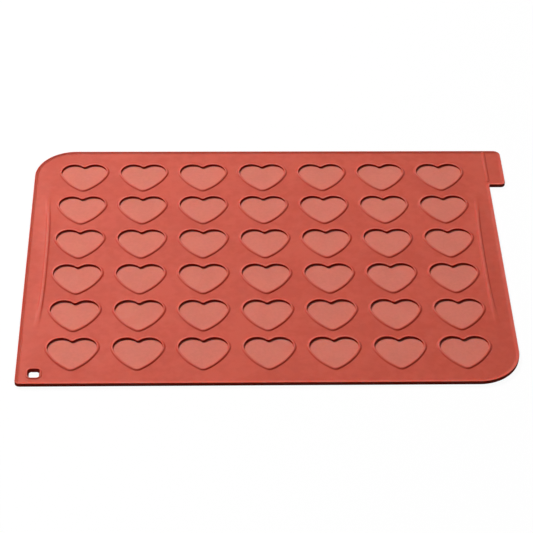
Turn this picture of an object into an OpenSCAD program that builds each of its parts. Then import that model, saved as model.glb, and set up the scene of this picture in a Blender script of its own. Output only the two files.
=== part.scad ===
// Silicone baking mat with a grid of heart moulds, a corner tab and a hang slot.
// Origin: middle of the underside of the rectangular body. +X runs to the tab side,
// +Y to the back edge, +Z up. The heart tips point to the front edge.

/* [Body] */
// Length of the rectangular body, without the tab
body_l = 400; // [380:1:460]
// Width of the body from front edge to back edge
body_w = 300; // [294:1:360]
// Thickness of the plain surface between the moulds
plate_t = 2.5; // [1.8:0.1:4]
// Radius of the back left and front right corners
corner_r = 35; // [12:1:40]
// Radius of the front left corner
corner_small_r = 4; // [4:0.5:8]

/* [Border] */
// Height of the border bead above the plain surface
lip_h = 0.8; // [0.3:0.1:1.2]
// Distance from the outer edge to the inner foot of the border bead
lip_w = 3.8; // [2.5:0.1:3.9]
// Distance from the outer edge to the highest line of the border bead
lip_crest = 0.6; // [0.6:0.1:1.4]
// Rounding of the top outer edge
edge_r = 0.4; // [0.2:0.1:0.6]

/* [Tab] */
// How far the tab stands out past the body
tab_l = 14.4; // [12:0.2:30]
// Width of the tab along the right edge
tab_w = 49; // [30:1:80]
// Radius of the tab's outer back corner
tab_back_r = 6; // [4:0.5:8]
// Radius of the tab's outer front corner
tab_front_r = 4; // [4:0.5:6]
// Radius in the notch where the tab leaves the body
tab_root_r = 1; // [0.5:0.5:3]
// Height of the bead that crosses the tab at its root
root_bead_h = 0.5; // [0.3:0.1:1]
// Width of that bead at the plain surface
root_bead_w = 3.5; // [3:0.5:6]
// Bare length between that bead's end and the tab's front edge
root_bead_gap = 4.5; // [4.5:0.5:15]

/* [Hearts] */
// Number of heart columns along the body
cols = 7; // [1:1:7]
// Number of heart rows across the body
rows = 6; // [1:1:6]
// Distance between columns
pitch_x = 52.3; // [45:0.1:54]
// Distance between rows
pitch_y = 45.6; // [42:0.1:46.5]
// Shift of the whole pattern towards the front edge
pattern_shift = 0.9; // [0:0.1:2.5]
// Width of a heart over the crest of its rim
heart_w = 40.4; // [38:0.2:41]
// Length of a heart from the top of its lobes to its tip, over the crest
heart_l = 36.4; // [35:0.2:38]
// Radius of the two lobes
lobe_r = 11.1; // [10.4:0.1:11.6]
// Radius of the long sides below the lobes
side_r = 46; // [40:1:60]
// Radius of the tip
tip_r = 4; // [2.5:0.1:5]
// Radius of the hollow between the lobes
notch_r = 2.1; // [2.1:0.1:3]
// Depth of the heart floor below the plain surface
floor_depth = 0.7; // [0.3:0.1:1.2]
// Height of the heart rim above the plain surface
rim_h = 0.8; // [0.3:0.1:1]
// Width of the rim's outer flank, from crest to foot
rim_flank = 1.9; // [1.3:0.1:1.9]
// Rounding of the rim's inner edge
rim_r = 0.4; // [0.2:0.1:0.6]

/* [Side ridges] */
// Distance from the side edge to the ridge's crest at mid length
ridge_inset = 16; // [12:0.1:18]
// Length of each ridge along the side
ridge_l = 156; // [100:1:190]
// How far the ridge bows inwards over its length
ridge_bow = 2; // [1:0.1:4]
// Height of the ridge at mid length
ridge_h = 0.6; // [0.3:0.1:0.8]
// Width of the ridge at mid length
ridge_w = 5.2; // [3:0.1:7]

/* [Hang slot] */
// Side length of the square slot
slot_w = 9.5; // [8:0.5:12]
// Radius of the slot's corners
slot_r = 2.8; // [1:0.1:4]
// Distance from the left edge to the middle of the slot
slot_from_left = 14.5; // [13:0.5:18]
// Distance from the front edge to the middle of the slot
slot_from_front = 12.5; // [11:0.1:16]
// Height of the rim around the slot
slot_rim_h = 0.5; // [0.2:0.1:0.6]
// Width of the rim around the slot
slot_rim_w = 1.8; // [1:0.1:1.8]

/* [Hidden] */
silicone = [0.78, 0.38, 0.31];

// Faces of small rounds, of corners and lobes, and of the long shallow arcs
small_fn = 32;
round_fn = 96;
long_fn = 720;
// How far a bead reaches into the plate that carries it
bury = 0.1;
root_depth = 0.4;
// How much smaller every second stretch of a rim is, and how far it laps into the next one
hair = 0.01;
lap = 0.2;
// Straight steps in the rim's section, inside and outside the crest
inner_steps = 2;
outer_steps = 2;

// Radius of a bead of half width w and height h
function bead_r(w, h) = (w * w + h * h) / (2 * h);

// Places on the body
body_x = body_l / 2;
body_y = body_w / 2;
tab_x = body_x + tab_l;
tab_y = body_y - tab_w;
slot_x = slot_from_left - body_x;
slot_y = slot_from_front - body_y;
core_inset = lip_w / 2;

// Heart outline at the rim's crest, from tangent arcs, centred on its own box
lobe_x = heart_w / 2 - lobe_r;
lobe_y = heart_l / 2 - lobe_r;
tip_y = tip_r - heart_l / 2;
notch_y = lobe_y + sqrt(pow(lobe_r + notch_r, 2) - lobe_x * lobe_x);
lobe = [lobe_x, lobe_y];
tip = [0, tip_y];
notch = [0, notch_y];
// Centre of the long right side: it touches the right lobe and the tip from inside
to_lobe = side_r - lobe_r;
to_tip = side_r - tip_r;
span = norm(lobe - tip);
along = (to_tip * to_tip - to_lobe * to_lobe + span * span) / (2 * span);
across = sqrt(to_tip * to_tip - along * along);
chord = (lobe - tip) / span;
side = tip + along * chord + across * [-chord.y, chord.x];
// Directions in which the arcs meet
side_end = atan2((lobe - side).y, (lobe - side).x);
side_start = atan2((tip - side).y, (tip - side).x);
lobe_end = atan2((notch - lobe).y, (notch - lobe).x);
floor_z = plate_t - floor_depth;
rim_z = plate_t + rim_h;
rim_bead = bead_r(rim_flank, rim_h);
rim_reach = asin((rim_flank + bury) / rim_bead);

// Side ridge: a ring tilted so that its ends dip into the plate
ridge_ring = (ridge_l * ridge_l / 4 + ridge_bow * ridge_bow) / (2 * ridge_bow);
ridge_tilt = asin(ridge_h / ridge_bow);
ridge_turn = asin(ridge_l / 2 / ridge_ring);

// Point at an angle and a distance from a centre
function polar(centre, angle, r) = centre + r * [cos(angle), sin(angle)];

// Angle that an arc of a given length spans at a radius
function span_of(length, r) = length / r * 180 / PI;

// Turns a profile about a centre, from one angle to another
module turn(centre, from, to, fn) {
    translate([centre.x, centre.y, 0])
        rotate([0, 0, from])
            rotate_extrude(angle = to - from, $fn = fn)
                children();
}

// Carries a profile along a straight line, with the profile's x to the left of the heading
module run(start, heading, length) {
    translate([start.x, start.y, 0])
        rotate([90, 0, 90 + heading])
            linear_extrude(length)
                children();
}

// Section of the border, from the outer wall inwards
module lip_profile() {
    top = plate_t + lip_h;
    r = bead_r(lip_w - lip_crest, lip_h);
    shoulder = top - r + sqrt(r * r - pow(lip_crest - edge_r, 2));
    difference() {
        intersection() {
            square([lip_w + bury, top]);
            translate([lip_crest, top - r]) circle(r, $fn = long_fn);
        }
        difference() {
            translate([-1, shoulder - edge_r]) square([1 + edge_r, edge_r + 1]);
            translate([edge_r, shoulder - edge_r]) circle(edge_r, $fn = small_fn);
        }
    }
}

// Section of a heart's rim in short straight steps, from its inner wall outwards, with the
// crest at x = 0. The section shrinks by less on every side
module rim_profile(less) {
    wall = rim_r - less;
    bead = rim_bead - less;
    bottom = floor_z - root_depth + less;
    inner = [for (k = [0 : inner_steps]) 180 - 90 * k / inner_steps];
    outer = [for (k = [1 : outer_steps]) 90 - rim_reach * k / outer_steps];
    polygon(concat(
        [[bead * sin(rim_reach), bottom], [-wall, bottom]],
        [for (a = inner) polar([0, rim_z - rim_r], a, wall)],
        [for (a = outer) polar([0, rim_z - rim_bead], a, bead)]
    ));
}

// Flat outline of a heart, grown outwards from the crest by d
module heart_area(d) {
    reach = side_r * 1.2;
    right_top = polar(side, side_end, reach);
    right_low = polar(side, side_start, reach);
    for (s = [-1, 1]) {
        translate([s * lobe_x, lobe_y]) circle(lobe_r + d, $fn = round_fn);
    }
    translate(tip) circle(tip_r + d, $fn = round_fn);
    difference() {
        polygon([[-lobe_x, lobe_y], lobe, notch]);
        translate(notch) circle(notch_r - d, $fn = round_fn);
    }
    intersection() {
        translate(side) circle(side_r + d, $fn = long_fn);
        translate([-side.x, side.y]) circle(side_r + d, $fn = long_fn);
        polygon([lobe, right_top, right_low, tip, [-right_low.x, right_low.y],
            [-right_top.x, right_top.y], [-lobe_x, lobe_y]]);
    }
}

// Raised rim of one heart. Its stretches lap: the lobes and the tip are a hair smaller and
// run into their neighbours, so that no two faces coincide
module heart_rim() {
    for (flip = [0, 1]) {
        mirror([flip, 0, 0])
            turn(side, side_start, side_end, long_fn) translate([side_r, 0]) rim_profile(0);
    }
    for (flip = [0, 1]) {
        mirror([flip, 0, 0])
            turn(lobe, side_end - span_of(lap, lobe_r), lobe_end + span_of(lap, lobe_r), round_fn)
                translate([lobe_r, 0]) rim_profile(hair);
    }
    tip_end = side_start + span_of(lap, tip_r);
    turn(tip, -180 - tip_end, tip_end, round_fn) translate([tip_r, 0]) rim_profile(hair);
    turn(notch, lobe_end - 180, -lobe_end, round_fn)
        translate([notch_r, 0]) mirror([1, 0]) rim_profile(0);
}

// Repeats one heart in columns and rows
module heart_grid() {
    for (i = [0 : cols - 1]) {
        for (j = [0 : rows - 1]) {
            translate([(i - (cols - 1) / 2) * pitch_x,
                (j - (rows - 1) / 2) * pitch_y - pattern_shift, 0]) children();
        }
    }
}

// Border of the whole outline, walked with the mat on the left
module border() {
    r = corner_r;
    s = corner_small_r;
    run([s - body_x, -body_y], 0, body_l - s - r) lip_profile();
    run([body_x, r - body_y], 90, body_w - tab_w - tab_root_r - r) lip_profile();
    run([body_x + tab_root_r, tab_y], 0, tab_l - tab_root_r - tab_front_r) lip_profile();
    run([tab_x, tab_y + tab_front_r], 90, tab_w - tab_front_r - tab_back_r) lip_profile();
    run([tab_x - tab_back_r, body_y], 180, body_l + tab_l - tab_back_r - r) lip_profile();
    run([-body_x, body_y - r], 270, body_w - r - s) lip_profile();
    border_corner([s - body_x, s - body_y], 180, s);
    border_corner([body_x - r, r - body_y], 270, r);
    border_corner([tab_x - tab_front_r, tab_y + tab_front_r], 270, tab_front_r);
    border_corner([tab_x - tab_back_r, body_y - tab_back_r], 0, tab_back_r);
    border_corner([r - body_x, body_y - r], 90, r);
    turn([body_x + tab_root_r, tab_y - tab_root_r], 90, 180, round_fn)
        translate([tab_root_r, 0]) lip_profile();
}

// Border round a quarter of a corner
module border_corner(centre, from, r) {
    turn(centre, from, from + 90, round_fn) translate([r, 0]) mirror([1, 0]) lip_profile();
}

// Rectangle from one corner to the other with its four corners rounded
module rounded(low, high, r) {
    difference() {
        translate(low) square(high - low);
        corner_cut(low, 0, r[0]);
        corner_cut([high.x, low.y], 90, r[1]);
        corner_cut(high, 180, r[2]);
        corner_cut([low.x, high.y], 270, r[3]);
    }
}

module corner_cut(corner, turned, r) {
    translate(corner)
        rotate(turned)
            difference() {
                translate([-1, -1]) square(r + 1);
                translate([r, r]) circle(r, $fn = round_fn);
            }
}

// Plain plate inside the border
module plate() {
    c = core_inset;
    big = corner_r - c;
    small = corner_small_r - c;
    linear_extrude(plate_t) {
        rounded([c - body_x, c - body_y], [body_x - c, body_y - c], [small, big, 0, big]);
        translate([body_x - 2 * c, tab_y + c]) square([tab_l, tab_w - 2 * c]);
    }
}

// Slot outline, grown outwards by d
module slot_area(d) {
    h = slot_w / 2 + d;
    r = slot_r + d;
    translate([slot_x, slot_y]) rounded([-h, -h], [h, h], [r, r, r, r]);
}

// Raised rim around the slot
module slot_rim() {
    r = bead_r(slot_rim_w, slot_rim_h);
    h = slot_w / 2 - slot_r;
    for (k = [0 : 3]) {
        translate([slot_x, slot_y, 0])
            rotate([0, 0, 90 * k]) {
                run([slot_w / 2, h], -90, 2 * h) slot_profile(r);
                turn([h, h], 0, 90, round_fn) translate([slot_r, 0]) slot_profile(r);
            }
    }
}

// Section of the slot's rim, from the wall outwards
module slot_profile(r) {
    top = plate_t + slot_rim_h;
    intersection() {
        square([slot_rim_w + bury, top]);
        translate([0, top - r]) circle(r, $fn = round_fn);
    }
}

// Section of a free-standing bead, cut off inside the plate
module bead_profile(w, h) {
    r = bead_r(w / 2, h);
    low = plate_t - root_depth;
    intersection() {
        translate([0, plate_t + h - r]) circle(r, $fn = long_fn);
        translate([0, low]) square([w, h + root_depth]);
    }
}

// Bead that carries the line of the right edge across the tab's root
module root_bead() {
    x = body_x - lip_crest;
    front = tab_y + root_bead_gap + root_bead_w / 2;
    for (flip = [0, 1]) {
        translate([x, front, 0])
            mirror([flip, 0, 0])
                rotate([90, 0, 180])
                    linear_extrude(body_y - front - lip_crest)
                        bead_profile(root_bead_w, root_bead_h);
    }
    turn([x, front], 180, 360, round_fn) bead_profile(root_bead_w, root_bead_h);
}

// Long shallow ridge beside the right edge
module side_ridge() {
    r = bead_r(ridge_w / 2, ridge_h);
    crest_x = body_x - ridge_inset;
    intersection() {
        translate([crest_x, 0, plate_t + ridge_h - r])
            rotate([0, ridge_tilt, 0])
                translate([ridge_ring, 0, 0])
                    rotate([0, 0, 180 - ridge_turn])
                        rotate_extrude(angle = 2 * ridge_turn, $fn = long_fn)
                            translate([ridge_ring, 0])
                                circle(r, $fn = round_fn);
        translate([crest_x - ridge_w, -ridge_l, plate_t - root_depth])
            cube([3 * ridge_w, 2 * ridge_l, ridge_h + 2 * root_depth]);
    }
}

module mat() {
    color(silicone) {
        difference() {
            union() {
                difference() {
                    union() {
                        plate();
                        border();
                    }
                    translate([0, 0, floor_z])
                        linear_extrude(plate_t)
                            heart_grid() heart_area(rim_flank / 2);
                }
                heart_grid() heart_rim();
                root_bead();
                side_ridge();
                mirror([1, 0, 0]) side_ridge();
                slot_rim();
            }
            translate([0, 0, -1]) linear_extrude(plate_t + 3) slot_area(0);
        }
    }
}

mat();
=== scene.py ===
# Silicone baking mat with heart moulds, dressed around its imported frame
import math

import bmesh
import bpy
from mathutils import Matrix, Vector, geometry


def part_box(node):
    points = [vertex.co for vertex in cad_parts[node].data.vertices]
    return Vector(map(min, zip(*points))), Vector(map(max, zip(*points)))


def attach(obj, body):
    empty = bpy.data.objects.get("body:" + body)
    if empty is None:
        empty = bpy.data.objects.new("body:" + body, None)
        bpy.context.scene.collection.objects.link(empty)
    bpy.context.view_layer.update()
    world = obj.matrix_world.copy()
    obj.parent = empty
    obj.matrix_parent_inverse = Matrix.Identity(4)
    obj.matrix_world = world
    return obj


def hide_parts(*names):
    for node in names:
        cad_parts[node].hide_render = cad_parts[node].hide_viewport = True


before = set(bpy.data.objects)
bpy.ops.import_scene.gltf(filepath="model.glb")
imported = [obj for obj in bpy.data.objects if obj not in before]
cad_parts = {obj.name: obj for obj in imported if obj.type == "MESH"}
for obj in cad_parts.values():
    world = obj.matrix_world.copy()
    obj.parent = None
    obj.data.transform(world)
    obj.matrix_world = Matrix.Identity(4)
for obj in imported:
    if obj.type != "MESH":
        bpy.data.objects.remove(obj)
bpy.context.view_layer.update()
matLow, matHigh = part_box("mat")
mm = 0.001
near = 0.001  # millimetres between points that count as one
print("frame loaded, nodes:", len(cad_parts))

# The camera stands where the photograph was taken from
cameraSetup = {
    "lens": 135.28,  # millimetres on a sensor 36 wide
    "sensor": 36,
    "place": (-0.0513, -1.2859, 1.0868),
    "turn": (49.685, -0.994, -1.49),  # degrees about X, Y and Z
}


def addCamera():
    data = bpy.data.cameras.new("camera")
    data.lens = cameraSetup["lens"]
    data.sensor_width = cameraSetup["sensor"]
    camera = bpy.data.objects.new("camera", data)
    camera.location = cameraSetup["place"]
    camera.rotation_euler = [math.radians(angle) for angle in cameraSetup["turn"]]
    bpy.context.collection.objects.link(camera)
    bpy.context.scene.camera = camera


addCamera()
print("camera placed")


# Curves and meshes. Everything here is in millimetres until a vertex is made
def polar(centre, angle, radius):
    return (centre[0] + radius * math.cos(angle), centre[1] + radius * math.sin(angle))


def quarter(centre, radius, start, end, steps):
    # Points on an arc, between two angles in degrees
    turns = [start + (end - start) * step / steps for step in range(steps + 1)]
    return [polar(centre, math.radians(turn), radius) for turn in turns]


def smooth(value, start, end):
    share = min(max((value - start) / (end - start), 0), 1)
    return share * share * (3 - 2 * share)


def beadFlank(halfWidth, height, fillet, arcSteps, filletSteps):
    # Distance from the crest and rise above the plate, down a round flank to its foot
    radius = (halfWidth**2 + height**2) / (2 * height)
    bend = halfWidth - fillet
    flank = []
    for step in range(arcSteps + 1):
        out = bend * step / arcSteps
        flank.append((out, height - radius + math.sqrt(radius**2 - out**2)))
    low = flank[-1][1]
    reach = low * math.sqrt(radius**2 - bend**2) / bend
    for step in range(1, filletSteps + 1):
        share = step / filletSteps
        flank.append((bend + 2 * reach * share, low * (1 - share) ** 2))
    return flank


def addLoops(mesh, loops, material=0, closed=True):
    # Faces between loops that have the same number of points
    made = [[mesh.verts.new(Vector(point) * mm) for point in loop] for loop in loops]
    for inner, outer in zip(made, made[1:]):
        for index in range(len(inner) if closed else len(inner) - 1):
            after = (index + 1) % len(inner)
            face = mesh.faces.new((inner[index], inner[after], outer[after], outer[index]))
            face.material_index = material
    return made


def addSheet(mesh, outline, holes, z):
    # Flat sheet inside an outline, with holes. A triangle in a hole lies in two loops
    points, loops = [], []
    for loop in [outline] + holes:
        loops.append(list(range(len(points), len(points) + len(loop))))
        points += [Vector(point) for point in loop]
    made = geometry.delaunay_2d_cdt(points, [], loops, 0, 1e-6)
    corners = [mesh.verts.new(Vector((point.x, point.y, z)) * mm) for point in made[0]]
    for triangle, inside in zip(made[2], made[5]):
        if list(inside) == [0]:
            mesh.faces.new([corners[index] for index in triangle])


# The mat's body. Its reach comes from the frame
body = {
    "halfX": -matLow.x / mm,
    "halfY": matHigh.y / mm,
    "tabX": matHigh.x / mm,
    "crestZ": matHigh.z / mm,
    "plateZ": 2.5,
    "corner": 35,  # radius at the back left and the front right
    "smallCorner": 4,
    "tabWidth": 49,
    "tabBack": 6,  # radii of the tab's corners
    "tabFront": 4,
    "tabRoot": 1,
    "cornerSteps": 20,
    "smallSteps": 8,
}


def outlineStations():
    # Walks the outline with the mat on the left. Each station is a function that says where a
    # point at a given distance from the edge lies, and the root bead's rise there
    x, y = body["halfX"], body["halfY"]
    tabX, tabY = body["tabX"], y - body["tabWidth"]
    big, small = body["corner"], body["smallCorner"]
    back, front, root = body["tabBack"], body["tabFront"], body["tabRoot"]
    stations = []

    def addCorner(centre, radius, start, side, steps):
        for step in range(steps + 1):
            angle = math.radians(start + 90 * step / steps)

            def place(inward, angle=angle):
                if inward < radius:
                    return polar(centre, angle, radius - inward)
                return (centre[0] - side[0] * (inward - radius), centre[1] - side[1] * (inward - radius))

            stations.append((place, 0))

    addCorner((x - big, big - y), big, 270, (1, -1), body["cornerSteps"])
    for step in range(body["smallSteps"] + 1):
        angle = math.radians(180 - 90 * step / body["smallSteps"])

        def place(inward, angle=angle):
            return polar((x + root, tabY - root), angle, root + inward)

        stations.append((place, 0))
    addCorner((tabX - front, tabY + front), front, 270, (1, -1), body["smallSteps"])
    addCorner((tabX - back, y - back), back, 0, (1, 1), body["smallSteps"])
    for offset, rise in reversed(beadColumns()):

        def place(inward, offset=offset):
            return (x - rootBead["inset"] + offset, y - inward)

        stations.append((place, rise))
    addCorner((big - x, y - big), big, 90, (-1, 1), body["cornerSteps"])
    addCorner((small - x, small - y), small, 180, (-1, -1), body["smallSteps"])
    return stations


border = {
    "crest": 0.4,  # from the outer edge to the border's highest line
    "foot": 3.0,
    "hollow": 1.3,  # 1 is a straight inner slope, more is a deeper cove
    "flat": 4.0,  # where the border's strip of mesh ends
    "edgeRound": 0.3,
    "bottomRound": 0.25,
    "slopeSteps": 10,
    "edgeSteps": 6,
    "bottomSteps": 4,
}


def borderSection():
    # Distance from the edge and height, from the underside round the edge and down inside
    top, plate = body["crestZ"], body["plateZ"]
    low, turn = border["bottomRound"], border["edgeRound"]
    section = quarter((low, low), low, 270, 180, border["bottomSteps"])
    section += quarter((turn, top - turn), turn, 180, 90, border["edgeSteps"])
    for step in range(border["slopeSteps"] + 1):
        share = step / border["slopeSteps"]
        out = border["crest"] + (border["foot"] - border["crest"]) * share
        section.append((out, plate + (top - plate) * (1 - share) ** border["hollow"]))
    section.append((border["flat"], plate))
    return section


def addBorder(mesh, stations):
    plate = body["plateZ"]
    loops = []
    for inward, z in borderSection():
        loop = []
        for place, rise in stations:
            onTop = inward >= border["crest"]
            height = plate + merged(z - plate, rise) if onTop and rise > 0 else z
            loop.append((*place(inward), height))
        loops.append(loop)
    addLoops(mesh, loops)


# Low bead across the root of the tab
rootBead = {
    "inset": 0.6,  # from the body's side to the crest
    "gap": 4.5,  # from the tab's front edge to the free end
    "halfWidth": 1.75,
    "height": 0.5,
    "fillet": 0.15,
    "skirt": 0.05,  # level strip outside the foot
    "blend": 0.15,  # how softly the bead runs into the border
    "arcSteps": 5,
    "filletSteps": 3,
    "endSteps": 16,
}


def merged(first, second):
    # The higher of two rises, rounded where they meet
    soft = rootBead["blend"]
    overlap = max(soft - abs(first - second), 0) / soft
    return max(first, second) + overlap**2 * soft / 4 * min(1, min(first, second) / soft)


def beadColumns():
    # Distance from the crest and rise above the plate, right across the bead
    sizes = [rootBead[name] for name in ("halfWidth", "height", "fillet", "arcSteps", "filletSteps")]
    flank = beadFlank(*sizes)
    flank.append((flank[-1][0] + rootBead["skirt"], 0))
    return [(-out, rise) for out, rise in reversed(flank[1:])] + flank


def addRootBead(mesh):
    # Straight down from the border, then round its free end. Returns the foot's path
    x = body["halfX"] - rootBead["inset"]
    top = body["halfY"] - border["flat"]
    end = body["halfY"] - body["tabWidth"] + rootBead["gap"] + rootBead["halfWidth"]
    turns = [math.radians(-180 * step / rootBead["endSteps"]) for step in range(rootBead["endSteps"] + 1)]
    loops = []
    for offset, rise in beadColumns():
        if offset < 0:
            continue
        z = body["plateZ"] + rise
        arc = [(*polar((x, end), turn, offset), z) for turn in turns]
        loops.append([(x + offset, top, z), *arc, (x - offset, top, z)])
    addLoops(mesh, loops, closed=False)
    return [point[:2] for point in loops[-1]]


# Long shallow ridge at the left and at the right
sideRidge = {
    "crestX": 184.0,
    "bow": 2.3,  # how far the crest has moved out at bowY
    "bowY": 80,
    "bowPower": 2.5,
    "inner": 2.4,
    "outer": 2.4,
    "spread": 1.2,  # how much wider the outer flank gets towards the ends
    "spreadFrom": 40,
    "height": 0.7,
    "top": 0.25,  # share of the half width that is level
    "fadeFrom": 52,
    "endY": 90,
    "rows": 60,
    "columns": 16,
}


def addSideRidge(mesh, side):
    # Returns the ridge's foot, as a hole for the flat sheet
    loops = []
    for row in range(sideRidge["rows"] + 1):
        y = sideRidge["endY"] * (2 * row / sideRidge["rows"] - 1)
        crest = sideRidge["crestX"] + sideRidge["bow"] * (abs(y) / sideRidge["bowY"]) ** sideRidge["bowPower"]
        height = sideRidge["height"] * (1 - smooth(abs(y), sideRidge["fadeFrom"], sideRidge["endY"]))
        spread = sideRidge["spread"] * smooth(abs(y), sideRidge["spreadFrom"], sideRidge["endY"])
        loop = []
        for column in range(sideRidge["columns"] + 1):
            share = 2 * column / sideRidge["columns"] - 1
            width = sideRidge["outer"] + spread if share > 0 else sideRidge["inner"]
            rise = height * (1 - smooth(abs(share), sideRidge["top"], 1))
            loop.append((side * (crest + share * width), y, body["plateZ"] + rise))
        loops.append(loop)
    addLoops(mesh, loops, closed=False)
    foot = loops[0] + [loop[-1] for loop in loops[1:-1]]
    foot += loops[-1][::-1] + [loop[0] for loop in loops[-2:0:-1]]
    foot = [point[:2] for point in foot]
    return foot if side > 0 else foot[::-1]


# Square hang slot with its soft rim
slot = {
    "x": -185.5,
    "y": -137.5,
    "half": 4.75,
    "corner": 2.8,
    "draft": 0.8,  # how much closer the wall stands at the underside
    "edgeRound": 0.6,
    "rimHeight": 0.5,
    "rimWidth": 1.8,
    "fillet": 0.15,
    "flat": 2.1,  # where the slot's strip of mesh ends
    "cornerSteps": 6,
    "edgeSteps": 5,
    "arcSteps": 4,
    "filletSteps": 2,
}


def slotLoop(outward):
    loop = []
    reach = slot["half"] - slot["corner"]
    for start, sideX, sideY in ((0, 1, 1), (90, -1, 1), (180, -1, -1), (270, 1, -1)):
        centre = (slot["x"] + sideX * reach, slot["y"] + sideY * reach)
        loop += quarter(centre, slot["corner"] + outward, start, start + 90, slot["cornerSteps"])
    return loop


def addSlot(mesh):
    # The hole's wall and rim. Returns the rim's foot and the lower edge
    turn, plate, low = slot["edgeRound"], body["plateZ"], border["bottomRound"]
    rim = beadFlank(
        slot["rimWidth"] - turn, slot["rimHeight"], slot["fillet"], slot["arcSteps"], slot["filletSteps"]
    )
    bottom = quarter((low, low), low, 270, 180, border["bottomSteps"])
    section = [(out - slot["draft"], z) for out, z in bottom]
    section += quarter((turn, plate + slot["rimHeight"] - turn), turn, 180, 90, slot["edgeSteps"])
    section += [(turn + out, plate + rise) for out, rise in rim[1:]]
    section.append((slot["flat"], plate))
    addLoops(mesh, [[(*point, z) for point in slotLoop(out)] for out, z in section])
    return slotLoop(slot["flat"]), slotLoop(section[0][0])


# One heart mould. Width, length and the four radii are of the crest of its rim
heart = {
    "width": 40.4,
    "length": 36.4,
    "lobe": 11.1,
    "side": 46,
    "tip": 4,
    "notch": 2.1,
    "floorZ": 1.8,
    "crestZ": 3.3,
    "rimRound": 0.4,
    "flank": 1.9,  # from the crest to the rim's foot outside
    "fillet": 0.3,
    "floorRound": 0.2,
    "floorStrip": 0.6,  # ring of mesh between the wall and the floor's middle
    "frostedLoops": 3,  # lines of the section, from the inside, that are frosted
    "flat": 2.6,  # where the mould's strip of mesh ends
    "notchSteps": 5,
    "lobeSteps": 21,
    "sideSteps": 9,
    "tipSteps": 5,
    "floorSteps": 4,
    "rimSteps": 5,
    "arcSteps": 5,
    "filletSteps": 3,
}


def heartArcs():
    # Centre, radius, two angles and steps of the right half's arcs, from notch to tip
    lobeX = heart["width"] / 2 - heart["lobe"]
    lobeY = heart["length"] / 2 - heart["lobe"]
    tipY = heart["tip"] - heart["length"] / 2
    notchY = lobeY + math.sqrt((heart["lobe"] + heart["notch"]) ** 2 - lobeX**2)
    chord = Vector((lobeX, lobeY - tipY))
    toLobe, toTip = heart["side"] - heart["lobe"], heart["side"] - heart["tip"]
    along = (toTip**2 - toLobe**2 + chord.length_squared) / (2 * chord.length)
    across = math.sqrt(toTip**2 - along**2)
    unit = chord.normalized()
    side = Vector((0, tipY)) + along * unit + across * Vector((-unit.y, unit.x))
    sideEnd = math.atan2(lobeY - side.y, lobeX - side.x)
    sideStart = math.atan2(tipY - side.y, -side.x)
    lobeEnd = math.atan2(notchY - lobeY, -lobeX)
    down = -math.pi / 2
    return [
        ((0, notchY), -heart["notch"], down, lobeEnd - math.pi, heart["notchSteps"]),
        ((lobeX, lobeY), heart["lobe"], lobeEnd, sideEnd, heart["lobeSteps"]),
        (tuple(side), heart["side"], sideEnd, sideStart, heart["sideSteps"]),
        ((0, tipY), heart["tip"], sideStart, down, heart["tipSteps"]),
    ]


def heartLoop(outward):
    # Outline of a heart at a distance from the rim's crest, with the valley between the
    # lobes kept on the middle line
    arcs = heartArcs()
    (lobeX, lobeY), lobeRadius = arcs[1][0], heart["lobe"] + outward
    half = []
    for centre, radius, start, end, steps in arcs:
        reach = radius + outward
        for step in range(steps):
            angle = start + (end - start) * step / steps
            point = polar(centre, angle, abs(reach))
            if radius < 0 and reach > 0 or point[0] < 0:
                point = (0, lobeY + math.sqrt(lobeRadius**2 - lobeX**2))
            half.append(point)
    lowest = polar(arcs[3][0], arcs[3][3], heart["tip"] + outward)
    left = [(-px, py) for px, py in half[:0:-1]]
    return half + [lowest] + left


def heartSection():
    # Distance from the crest and height, from the floor up the wall and down outside
    floor, turn, low = heart["floorZ"], heart["rimRound"], heart["floorRound"]
    plate, crest = body["plateZ"], heart["crestZ"]
    flank = beadFlank(heart["flank"], crest - plate, heart["fillet"], heart["arcSteps"], heart["filletSteps"])
    section = [(-turn - heart["floorStrip"], floor)]
    section += quarter((-turn - low, floor + low), low, 270, 360, heart["floorSteps"])
    section += quarter((0, crest - turn), turn, 180, 90, heart["rimSteps"])
    section += [(out, plate + rise) for out, rise in flank[1:]]
    section.append((heart["flat"], plate))
    return section


def makeHeart(surface, floor):
    # One mould: its floor, wall and rim, out to the plain surface
    mesh = bmesh.new()
    loops = [[(*point, z) for point in heartLoop(out)] for out, z in heartSection()]
    edge = heart["frostedLoops"]
    made = addLoops(mesh, loops[: edge + 1], material=1)
    addLoops(mesh, loops[edge:])
    bottom = mesh.faces.new(made[0])
    bottom.material_index = 1
    bmesh.ops.remove_doubles(mesh, verts=mesh.verts, dist=near * mm)
    bmesh.ops.triangulate(mesh, faces=[face for face in mesh.faces if len(face.verts) > 4])
    data = bpy.data.meshes.new("heartMould")
    mesh.to_mesh(data)
    mesh.free()
    data.materials.append(surface)
    data.materials.append(floor)
    return bpy.data.objects.new("heartMould", data)


def addNode(tree, kind, inputs, **settings):
    # A node with its settings, whose inputs take links or plain values
    node = tree.nodes.new(kind)
    for name, value in settings.items():
        setattr(node, name, value)
    for name, value in inputs.items():
        if isinstance(value, bpy.types.NodeSocket):
            tree.links.new(value, node.inputs[name])
        else:
            node.inputs[name].default_value = value
    return node


def addMath(tree, operation, first, second):
    return addNode(tree, "ShaderNodeMath", {0: first, 1: second}, operation=operation).outputs[0]


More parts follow.
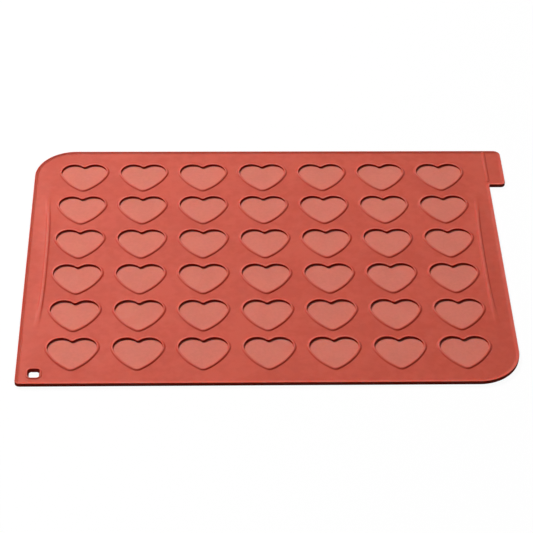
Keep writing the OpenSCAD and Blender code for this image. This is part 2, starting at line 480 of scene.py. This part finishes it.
def mouldGridTree():
    # Repeats one mould on a grid of columns and rows
    tree = bpy.data.node_groups.new("mouldGrid", "GeometryNodeTree")
    sockets = {
        "Mould": "NodeSocketObject",
        "Columns": "NodeSocketInt",
        "Rows": "NodeSocketInt",
        "Pitch X": "NodeSocketFloat",
        "Pitch Y": "NodeSocketFloat",
        "Shift": "NodeSocketFloat",
        "Surface": "NodeSocketMaterial",
    }
    for name, kind in sockets.items():
        tree.interface.new_socket(name, in_out="INPUT", socket_type=kind)
    tree.interface.new_socket("Geometry", in_out="OUTPUT", socket_type="NodeSocketGeometry")
    given = tree.nodes.new("NodeGroupInput").outputs

    def span(count, pitch):
        return addMath(tree, "MULTIPLY", addMath(tree, "SUBTRACT", given[count], 1), given[pitch])

    gridSizes = {
        "Size X": span("Columns", "Pitch X"),
        "Size Y": span("Rows", "Pitch Y"),
        "Vertices X": given["Columns"],
        "Vertices Y": given["Rows"],
    }
    grid = addNode(tree, "GeometryNodeMeshGrid", gridSizes)
    move = addNode(tree, "ShaderNodeCombineXYZ", {"Y": addMath(tree, "MULTIPLY", given["Shift"], -1)})
    placing = {"Geometry": grid.outputs["Mesh"], "Translation": move.outputs[0]}
    place = addNode(tree, "GeometryNodeTransform", placing)
    mould = addNode(tree, "GeometryNodeObjectInfo", {"Object": given["Mould"]})
    repeating = {"Points": place.outputs["Geometry"], "Instance": mould.outputs["Geometry"]}
    repeat = addNode(tree, "GeometryNodeInstanceOnPoints", repeating)
    realize = addNode(tree, "GeometryNodeRealizeInstances", {"Geometry": repeat.outputs["Instances"]})
    index = tree.nodes.new("GeometryNodeInputMaterialIndex")
    isSurface = addNode(tree, "FunctionNodeCompare", {}, data_type="INT", operation="EQUAL")
    tree.links.new(index.outputs[0], isSurface.inputs["A"])
    painting = {
        "Geometry": realize.outputs["Geometry"],
        "Selection": isSurface.outputs[0],
        "Material": given["Surface"],
    }
    paint = addNode(tree, "GeometryNodeSetMaterial", painting)
    addNode(tree, "NodeGroupOutput", {"Geometry": paint.outputs["Geometry"]})
    return tree


pattern = {"columns": 7, "rows": 6, "pitchX": 52.3, "pitchY": 45.6, "shift": 0.9}  # shift is to the front


def repeatHearts(mould, surface):
    host = bpy.data.objects.new("mouldHost", bpy.data.meshes.new("mouldHost"))
    bpy.context.collection.objects.link(host)
    modifier = host.modifiers.new("mouldGrid", "NODES")
    modifier.node_group = mouldGridTree()
    values = {
        "Mould": mould,
        "Columns": pattern["columns"],
        "Rows": pattern["rows"],
        "Pitch X": pattern["pitchX"] * mm,
        "Pitch Y": pattern["pitchY"] * mm,
        "Shift": pattern["shift"] * mm,
        "Surface": surface,
    }
    for item in modifier.node_group.interface.items_tree:
        if item.item_type == "SOCKET" and item.in_out == "INPUT":
            modifier[item.identifier] = values[item.name]
    bpy.context.view_layer.update()
    evaluated = host.evaluated_get(bpy.context.evaluated_depsgraph_get())
    data = bpy.data.meshes.new_from_object(evaluated)
    host.modifiers.remove(modifier)
    bpy.data.objects.remove(host)
    return data


def heartHoles():
    # Feet of all the moulds' rims, as holes for the flat sheet between them
    loop = []
    for point in heartLoop(heart["flat"]):
        if not loop or math.dist(point, loop[-1]) > near:
            loop.append(point)
    loop = loop[::-1]
    if math.dist(loop[0], loop[-1]) < near:
        loop.pop()
    holes = []
    for column in range(pattern["columns"]):
        for row in range(pattern["rows"]):
            x = (column - (pattern["columns"] - 1) / 2) * pattern["pitchX"]
            y = (row - (pattern["rows"] - 1) / 2) * pattern["pitchY"] - pattern["shift"]
            holes.append([(px + x, py + y) for px, py in loop])
    return holes


weld = {"join": 0.004, "speck": 0.001}  # millimetres, for seams and for slivers


def makeMat(surface, floor):
    mesh = bmesh.new()
    stations = outlineStations()
    addBorder(mesh, stations)
    beadFoot = addRootBead(mesh)
    ridges = [addSideRidge(mesh, side) for side in (-1, 1)]
    slotFoot, slotBottom = addSlot(mesh)
    print("border, bead, ridges and slot made")

    outline = []
    for place, rise in stations:
        point = place(border["flat"])
        if math.dist(point, beadFoot[0]) < near:
            outline += beadFoot
        elif rise == 0 and (not outline or math.dist(point, outline[-1]) > near):
            outline.append(point)
    addSheet(mesh, outline, ridges + [slotFoot] + heartHoles(), body["plateZ"])
    edge = [place(border["bottomRound"]) for place, rise in stations]
    addSheet(mesh, edge, [slotBottom], 0)
    print("flat sheets made")

    mould = makeHeart(surface, floor)
    bpy.context.collection.objects.link(mould)
    mesh.from_mesh(repeatHearts(mould, surface))
    bpy.data.objects.remove(mould)
    bmesh.ops.remove_doubles(mesh, verts=mesh.verts, dist=weld["join"] * mm)
    bmesh.ops.dissolve_degenerate(mesh, edges=mesh.edges, dist=weld["speck"] * mm)
    bmesh.ops.recalc_face_normals(mesh, faces=mesh.faces)
    for face in mesh.faces:
        face.smooth = True
    print("hearts joined, faces:", len(mesh.faces))
    data = bpy.data.meshes.new("siliconeMat")
    mesh.to_mesh(data)
    mesh.free()
    data.materials.append(surface)
    data.materials.append(floor)
    piece = bpy.data.objects.new("siliconeMat", data)
    bpy.context.collection.objects.link(piece)
    return piece


# What both finishes share. Sizes of patches are shares of a finish's clouds
skin = {
    "spots": 0.1,
    "spotStrength": 0.4,
    "wearPatches": 0.12,
    "wearAndHighlightLeast": 0.3,  # share of the wear and highlight colour between its patches
    "wearAndHighlightMost": 0.75,  # share of it on the highest crests, partly wear and partly a painted highlight
    "crestFrom": 2.9,  # heights between which the paler wear and highlight colour comes in
    "crestTo": 3.4,
    "steepAll": 0.90,  # upward part of the normal at which a slope has all the painted shade colour
    "steepNone": 0.985,
    "glossPatches": 0.3,
    "coarseGrain": 4,  # how much larger the second grain is
}


def skinGroup():
    # Moulded silicone's skin: clouded colour, crests paler from wear and a painted highlight, painted
    # shade as a deeper red on steep slopes, uneven gloss and a fine grain
    tree = bpy.data.node_groups.new("siliconeSkin", "ShaderNodeTree")
    for name in ("Colour", "Deep Colour", "Wear And Highlight Colour", "Slope Shade Colour"):
        tree.interface.new_socket(name, in_out="INPUT", socket_type="NodeSocketColor")
    for name in ("Cloud Size", "Gloss", "Gloss Spread", "Grain Size"):
        tree.interface.new_socket(name, in_out="INPUT", socket_type="NodeSocketFloat")
    tree.interface.new_socket("Colour", in_out="OUTPUT", socket_type="NodeSocketColor")
    for name in ("Roughness", "Height"):
        tree.interface.new_socket(name, in_out="OUTPUT", socket_type="NodeSocketFloat")
    given = tree.nodes.new("NodeGroupInput").outputs
    coordinates = tree.nodes.new("ShaderNodeTexCoord").outputs

    def noise(size, share, detail):
        # Noise whose features are a share of a size in millimetres
        scale = addMath(tree, "DIVIDE", 1 / (share * mm), given[size])
        inputs = {"Vector": coordinates["Object"], "Scale": scale, "Detail": detail}
        return addNode(tree, "ShaderNodeTexNoise", inputs).outputs["Fac"]

    def ranged(value, low, high, newLow, newHigh, shape="LINEAR"):
        inputs = {0: value, 1: low, 2: high, 3: newLow, 4: newHigh}
        return addNode(tree, "ShaderNodeMapRange", inputs, interpolation_type=shape).outputs[0]

    def mixed(share, first, second):
        inputs = {"Factor": share, 6: first, 7: second}
        return addNode(tree, "ShaderNodeMix", inputs, data_type="RGBA").outputs[2]

    def upward(vector):
        return addNode(tree, "ShaderNodeSeparateXYZ", {0: vector}).outputs["Z"]

    soft, crisp = (0.3, 0.7), (0.35, 0.65)  # the part of a noise's range that is spread out
    clouds = ranged(noise("Cloud Size", 1, 3), *soft, 0, 1, "SMOOTHSTEP")
    strength = skin["spotStrength"]
    spots = ranged(noise("Cloud Size", skin["spots"], 2), *crisp, -strength, strength)
    base = mixed(addMath(tree, "ADD", clouds, spots), given["Colour"], given["Deep Colour"])
    height = upward(coordinates["Object"])
    # Paler crests: partly wear in patches, partly a painted highlight on the highest rims
    crest = ranged(height, skin["crestFrom"] * mm, skin["crestTo"] * mm, 0, skin["wearAndHighlightMost"], "SMOOTHSTEP")
    patches = ranged(noise("Cloud Size", skin["wearPatches"], 2), *crisp, skin["wearAndHighlightLeast"], 1)
    wornAndLit = mixed(addMath(tree, "MULTIPLY", crest, patches), base, given["Wear And Highlight Colour"])
    # Painted shade: steep slopes and walls take a deeper red that stands in for the shadow on them
    shadedSlopes = ranged(upward(coordinates["Normal"]), skin["steepAll"], skin["steepNone"], 1, 0, "SMOOTHSTEP")
    colour = mixed(shadedSlopes, wornAndLit, given["Slope Shade Colour"])

    uneven = ranged(noise("Cloud Size", skin["glossPatches"], 3), *soft, -0.5, 0.5)
    swing = addMath(tree, "MULTIPLY", uneven, given["Gloss Spread"])
    roughness = addMath(tree, "ADD", given["Gloss"], swing)
    fine, coarse = noise("Grain Size", 1, 2), noise("Grain Size", skin["coarseGrain"], 2)
    grain = addMath(tree, "ADD", fine, coarse)
    addNode(tree, "NodeGroupOutput", {"Colour": colour, "Roughness": roughness, "Height": grain})
    return tree


# The finish of the mat, and the paler one of the moulds' floors. Sizes are in millimetres
silicone = {
    "colour": (0.55, 0.088, 0.054),
    "deep": (0.50, 0.073, 0.043),
    # paler crest colour: wear, and partly a painted highlight
    "wearAndHighlight": (0.60, 0.150, 0.110),
    # painted shade: the deeper red put on steep slopes in place of their shadow
    "wall": (0.485, 0.055, 0.030),
    "cloud": 70,
    "roughness": 0.60,
    "spread": 0.10,
    "grain": 0.8,
    "relief": 0.02,
    "specular": 0.15,
    "tint": (1.0, 0.3, 0.25),
    "glow": (1.0, 0.2, 0.1),  # how far red, green and blue light spread inside
}
frosted = {
    "colour": (0.62, 0.168, 0.122),
    "deep": (0.58, 0.158, 0.114),
    "wearAndHighlight": (0.62, 0.168, 0.122),
    # painted shade: the deeper red put on the floors' steep slopes in place of their shadow
    "wall": (0.57, 0.110, 0.070),
    "cloud": 24,
    "roughness": 0.80,
    "spread": 0.08,
    "grain": 0.9,
    "relief": 0.06,
    "specular": 0.15,
    "tint": (1.0, 0.7, 0.6),
    "glow": (1.2, 0.2, 0.1),
}


def makeSilicone(name, look, skinTree):
    material = bpy.data.materials.new(name)
    material.use_nodes = True
    tree = material.node_tree
    shader = tree.nodes["Principled BSDF"]
    values = {
        "Colour": (*look["colour"], 1),
        "Deep Colour": (*look["deep"], 1),
        "Wear And Highlight Colour": (*look["wearAndHighlight"], 1),
        "Slope Shade Colour": (*look["wall"], 1),
        "Cloud Size": look["cloud"],
        "Gloss": look["roughness"],
        "Gloss Spread": look["spread"],
        "Grain Size": look["grain"],
    }
    group = addNode(tree, "ShaderNodeGroup", {}, node_tree=skinTree)
    for socket, value in values.items():
        group.inputs[socket].default_value = value
    relief = {"Distance": look["relief"] * mm, "Height": group.outputs["Height"]}
    bump = addNode(tree, "ShaderNodeBump", relief)
    tree.links.new(group.outputs["Colour"], shader.inputs["Base Color"])
    tree.links.new(group.outputs["Roughness"], shader.inputs["Roughness"])
    tree.links.new(bump.outputs["Normal"], shader.inputs["Normal"])
    shader.inputs["Specular IOR Level"].default_value = look["specular"]
    shader.inputs["Specular Tint"].default_value = (*look["tint"], 1)
    shader.inputs["Subsurface Weight"].default_value = 1
    shader.inputs["Subsurface Radius"].default_value = look["glow"]
    shader.inputs["Subsurface Scale"].default_value = mm
    return material


# One soft lamp at the back left, aimed to the left of the mat so that its light falls off to
# the right. Lengths are in metres
keyLight = {
    "place": (-1.434, 2.696, 2.55),
    "aim": (-5.78, -2.98, 0),
    "size": 0.36,
    "power": 465,
}
surroundings = {
    "fill": 0.035,
    "floorShow": 0.96,  # share of plain white in the floor as the camera sees it
    "floorBounce": 0.35,  # the floor's colour for the light that it throws back
    "floorReach": 4,
    "floorZ": -0.0002,
}


def addKeyLight():
    data = bpy.data.lights.new("key", "AREA")
    data.shape = "SQUARE"
    data.size = keyLight["size"]
    data.energy = keyLight["power"]
    light = bpy.data.objects.new("key", data)
    light.location = keyLight["place"]
    line = Vector(keyLight["aim"]) - Vector(keyLight["place"])
    light.rotation_euler = line.to_track_quat("-Z", "Y").to_euler()
    bpy.context.collection.objects.link(light)


def seenDirectly(tree):
    # 1 for rays from the camera and for mirror and glass rays
    path = tree.nodes.new("ShaderNodeLightPath").outputs
    first = addMath(tree, "MAXIMUM", path["Is Camera Ray"], path["Is Glossy Ray"])
    return addMath(tree, "MAXIMUM", first, path["Is Transmission Ray"])


def addWorld():
    world = bpy.data.worlds.new("studio")
    bpy.context.scene.world = world
    world.use_nodes = True
    tree = world.node_tree
    light = tree.nodes["Background"]
    strength = addNode(tree, "ShaderNodeMix", {0: seenDirectly(tree), 2: surroundings["fill"], 3: 1})
    tree.links.new(strength.outputs[0], light.inputs["Strength"])
    light.inputs["Color"].default_value = (1, 1, 1, 1)


def addFloor():
    reach, z = surroundings["floorReach"], surroundings["floorZ"]
    plane = bpy.data.meshes.new("floor")
    corners = [(-reach, -reach, z), (reach, -reach, z), (reach, reach, z), (-reach, reach, z)]
    plane.from_pydata(corners, [], [(0, 1, 2, 3)])
    floor = bpy.data.objects.new("floor", plane)
    bpy.context.collection.objects.link(floor)
    material = bpy.data.materials.new("whiteFloor")
    material.use_nodes = True
    tree = material.node_tree
    matte = tree.nodes["Principled BSDF"]
    bounce = addNode(tree, "ShaderNodeMix", {0: seenDirectly(tree), 2: surroundings["floorBounce"], 3: 1})
    tree.links.new(bounce.outputs[0], matte.inputs["Base Color"])
    matte.inputs["Specular IOR Level"].default_value = 0
    matte.inputs["Roughness"].default_value = 1
    white = tree.nodes.new("ShaderNodeEmission")
    share = addMath(tree, "MULTIPLY", seenDirectly(tree), surroundings["floorShow"])
    mix = addNode(tree, "ShaderNodeMixShader", {0: share, 1: matte.outputs[0], 2: white.outputs[0]})
    tree.links.new(mix.outputs[0], tree.nodes["Material Output"].inputs["Surface"])
    plane.materials.append(material)


addKeyLight()
addWorld()
addFloor()
bpy.context.scene.view_settings.view_transform = "Standard"
print("studio lit")

skinTree = skinGroup()
surfaceSilicone = makeSilicone("terracottaSilicone", silicone, skinTree)
floorSilicone = makeSilicone("frostedFloor", frosted, skinTree)
siliconeMat = makeMat(surfaceSilicone, floorSilicone)
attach(siliconeMat, "root")
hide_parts("mat")
print("mat made")
